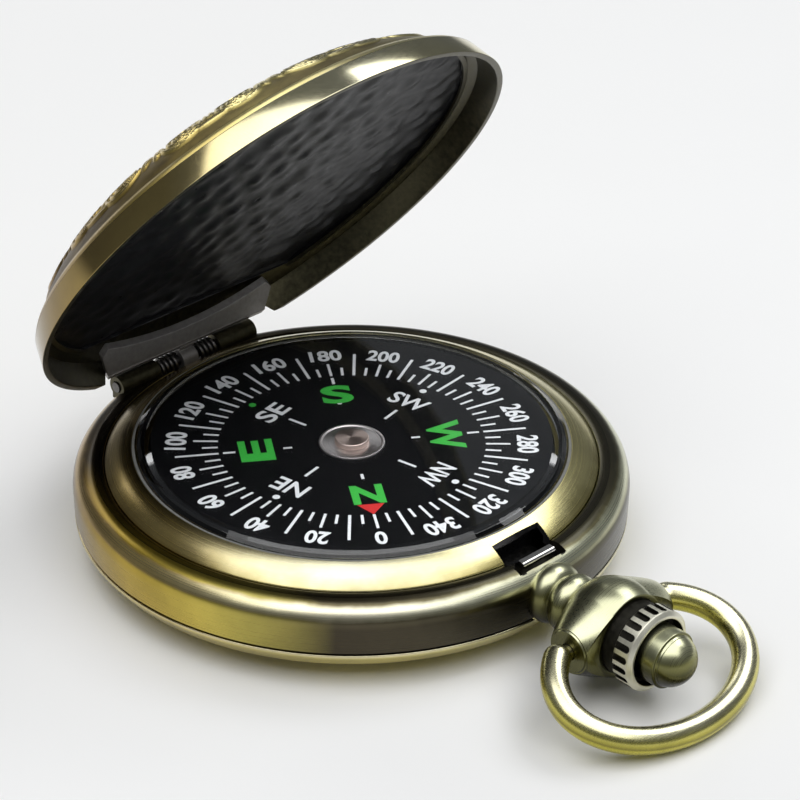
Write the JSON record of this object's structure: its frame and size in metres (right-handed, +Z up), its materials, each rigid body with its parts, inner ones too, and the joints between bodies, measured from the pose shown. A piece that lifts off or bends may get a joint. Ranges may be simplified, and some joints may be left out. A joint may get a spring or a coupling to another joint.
{
  "type": "pocket compass",
  "caption": "Pocket compass in a round brass hunter case: sprung hinged lid, turning dial card under glass, push-button crown and swivelling bow ring.",
  "frame": {"origin": "centre of the flat rest face of the back cover", "axes": "+Z up through the dial centre, crown and bow towards -Y, lid hinge axis along X at +Y"},
  "size_m": [0.05, 0.0695, 0.0476],
  "materials": {
    "antique_brass": "antique bronze plating, brushed, darkened in the hollows",
    "bright_brass": "polished antique brass",
    "dark_bronze": "blackened bronze",
    "glass_clear": "clear crystal",
    "black_plastic": "black moulded plastic",
    "card_black": "black printed card",
    "steel": "turned steel",
    "dark_steel": "dark plated steel",
    "magnet": "nickel-plated magnet",
    "jewel": "synthetic ruby",
    "clear_plastic": "nylon gasket",
    "lining": "black hammered lining"
  },
  "bodies": {
    "case": {"case_body": "antique_brass", "back_cover": "bright_brass", "bezel": "bright_brass", "crystal": "glass_clear", "crystal_gasket": "clear_plastic", "capsule_cup": "black_plastic", "pivot_post": "bright_brass", "pivot_pin": "steel", "case_hinge_leaf": "dark_bronze", "hinge_pin": "dark_steel", "hinge_spring_left": "dark_steel", "hinge_spring_right": "dark_steel", "pendant_neck": "antique_brass", "fluted_crown": "antique_brass", "button_spring": "steel", "catch_screw": "steel"},
    "lid": {"lid_shell": "bright_brass", "lid_hinge_leaf": "dark_steel", "lid_lining": "lining", "lid_lining_ring": "dark_bronze"},
    "card": {"compass_card": "card_black", "card_hub": "steel", "hub_cap": "steel", "pivot_jewel": "jewel", "card_magnet_left": "magnet", "card_magnet_right": "magnet"},
    "button": {"button_cap": "antique_brass", "button_stem": "steel"},
    "catch": {"catch_lever": "dark_steel"},
    "bow": {"bow": "antique_brass"}
  },
  "joints": [
    {"name": "lid_hinge", "type": "hinge", "parent": "case", "child": "lid", "pos_m": [0, 0.0232, 0.00812], "axis": [-1, 0, 0], "range_deg": [-54.7, 45.3], "stiffness_Nm_per_rad": 0.012, "springref_deg": 5.16},
    {"name": "card_spin", "type": "hinge", "parent": "case", "child": "card", "pos_m": [0, 0, 0.0088], "axis": [0, 0, 1], "continuous": true},
    {"name": "bow_swivel", "type": "hinge", "parent": "case", "child": "bow", "pos_m": [0, -0.032, 0.0054], "axis": [-1, 0, 0], "range_deg": [-78, 122]},
    {"name": "button_push", "type": "slide", "parent": "case", "child": "button", "axis": [0, 1, 0], "range_m": [0, 0.0007], "stiffness_N_per_m": 200},
    {"name": "catch_release", "type": "hinge", "parent": "case", "child": "catch", "pos_m": [0.01625, -0.01225, 0.0057], "axis": [0, 0, 1], "range_deg": [-2.1, 0]}
  ],
  "couplings": [
    {"joint": "catch_release", "follows": "button_push", "rad_per_m": -50}
  ]
}
